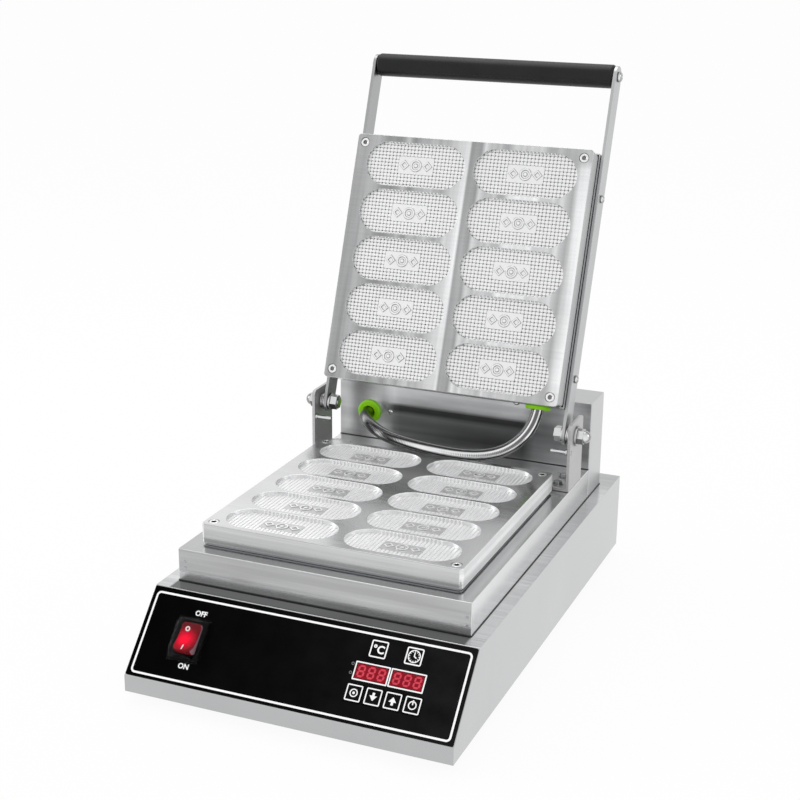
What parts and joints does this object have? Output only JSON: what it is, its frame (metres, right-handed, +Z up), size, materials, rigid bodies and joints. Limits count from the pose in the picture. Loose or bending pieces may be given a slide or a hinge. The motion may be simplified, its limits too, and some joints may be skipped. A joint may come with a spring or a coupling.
{
  "type": "electric cookie maker",
  "caption": "Countertop electric cookie maker with a hinged lid, two heated baking plates with stadium cavities, a sloped control panel and a metal wiring hose.",
  "frame": {"origin": "middle of the object's box, on the surface that the rubber feet stand on", "axes": "+X to the right seen from the control panel, +Y from the panel to the back, +Z up"},
  "size_m": [0.2916, 0.4864, 0.4875],
  "materials": {
    "stainless": "bright cold-rolled stainless sheet, nearly a mirror",
    "bright_steel": "polished fasteners",
    "hose_metal": "fine ribbed bright metal hose",
    "milled_aluminium": "milled, bright, with a fine grid in the cavities",
    "zinc_sheet": "plain zinc-coated sheet",
    "heater_sheath": "heat-tinted steel tube",
    "black_plastic": "smooth black heat-proof plastic",
    "black_film": "printed front film, semi-gloss",
    "key_black": "printed key caps",
    "black_rubber": "moulded rubber",
    "green_silicone": "bright green silicone",
    "display_red": "dark red filter over a numeric display",
    "switch_red": "translucent red rocker",
    "clear_cover": "clear flexible cover",
    "ceramic_wool": "white ceramic fibre board",
    "circuit_green": "circuit board",
    "white_ceramic": "white terminal block"
  },
  "bodies": {
    "base": {"base_shell": "stainless", "bottom_plate": "zinc_sheet", "foot_front_left": "black_rubber", "foot_front_right": "black_rubber", "foot_rear_right": "black_rubber", "foot_rear_left": "black_rubber", "tray": "stainless", "lower_heater_pan": "zinc_sheet", "lower_baking_plate": "milled_aluminium", "lower_heater": "heater_sheath", "lower_heater_clamp": "zinc_sheet", "lower_insulation": "ceramic_wool", "lower_sensor": "bright_steel", "bracket_left": "stainless", "bracket_right": "stainless", "pivot_bolt_left": "bright_steel", "pivot_bolt_right": "bright_steel", "pivot_nut_left": "bright_steel", "pivot_nut_right": "bright_steel", "pivot_spacer_left": "bright_steel", "pivot_spacer_right": "bright_steel", "rest_pin_left": "bright_steel", "rest_pin_right": "bright_steel", "rear_box": "stainless", "terminal_block": "white_ceramic", "box_screw": "bright_steel", "cable_gland": "black_plastic", "gland_nut": "black_plastic", "box_grommet": "green_silicone", "wire_hose": "hose_metal", "panel_film": "black_film", "temperature_display": "display_red", "timer_display": "display_red", "control_board": "circuit_green", "switch_body": "black_plastic", "switch_boot": "clear_cover", "power_board": "circuit_green"},
    "lid": {"lid_housing": "stainless", "upper_baking_plate": "milled_aluminium", "upper_heater": "heater_sheath", "upper_heater_clamp": "zinc_sheet", "upper_insulation": "ceramic_wool", "upper_sensor": "bright_steel", "arm_left": "stainless", "arm_right": "stainless", "arm_screw_left_front": "bright_steel", "arm_screw_left_rear": "bright_steel", "arm_screw_right_front": "bright_steel", "arm_screw_right_rear": "bright_steel", "handle_grip": "black_plastic", "handle_rod": "bright_steel", "handle_screw_left": "bright_steel", "handle_screw_right": "bright_steel", "lid_grommet": "green_silicone"},
    "power_rocker": {"rocker": "switch_red"},
    "key_1": {"button_1": "key_black"},
    "key_2": {"button_2": "key_black"},
    "key_3": {"button_3": "key_black"},
    "key_4": {"button_4": "key_black"}
  },
  "joints": [
    {"name": "lid_hinge", "type": "hinge", "parent": "base", "child": "lid", "pos_m": [0, 0.1027, 0.1607], "axis": [1, 0, 0], "range_deg": [0, 110.4], "deforming": ["wire_hose"]},
    {"name": "rocker_tilt", "type": "hinge", "parent": "base", "child": "power_rocker", "pos_m": [-0.0975, -0.21589, 0.05085], "axis": [1, 0, 0], "range_deg": [0, 20]},
    {"name": "key_1_travel", "type": "slide", "parent": "base", "child": "key_1", "axis": [0, 0.7317, -0.6816], "range_m": [0, 0.0005], "stiffness_N_per_m": 300},
    {"name": "key_2_travel", "type": "slide", "parent": "base", "child": "key_2", "axis": [0, 0.7317, -0.6816], "range_m": [0, 0.0005], "stiffness_N_per_m": 300},
    {"name": "key_3_travel", "type": "slide", "parent": "base", "child": "key_3", "axis": [0, 0.7317, -0.6816], "range_m": [0, 0.0005], "stiffness_N_per_m": 300},
    {"name": "key_4_travel", "type": "slide", "parent": "base", "child": "key_4", "axis": [0, 0.7317, -0.6816], "range_m": [0, 0.0005], "stiffness_N_per_m": 300}
  ]
}
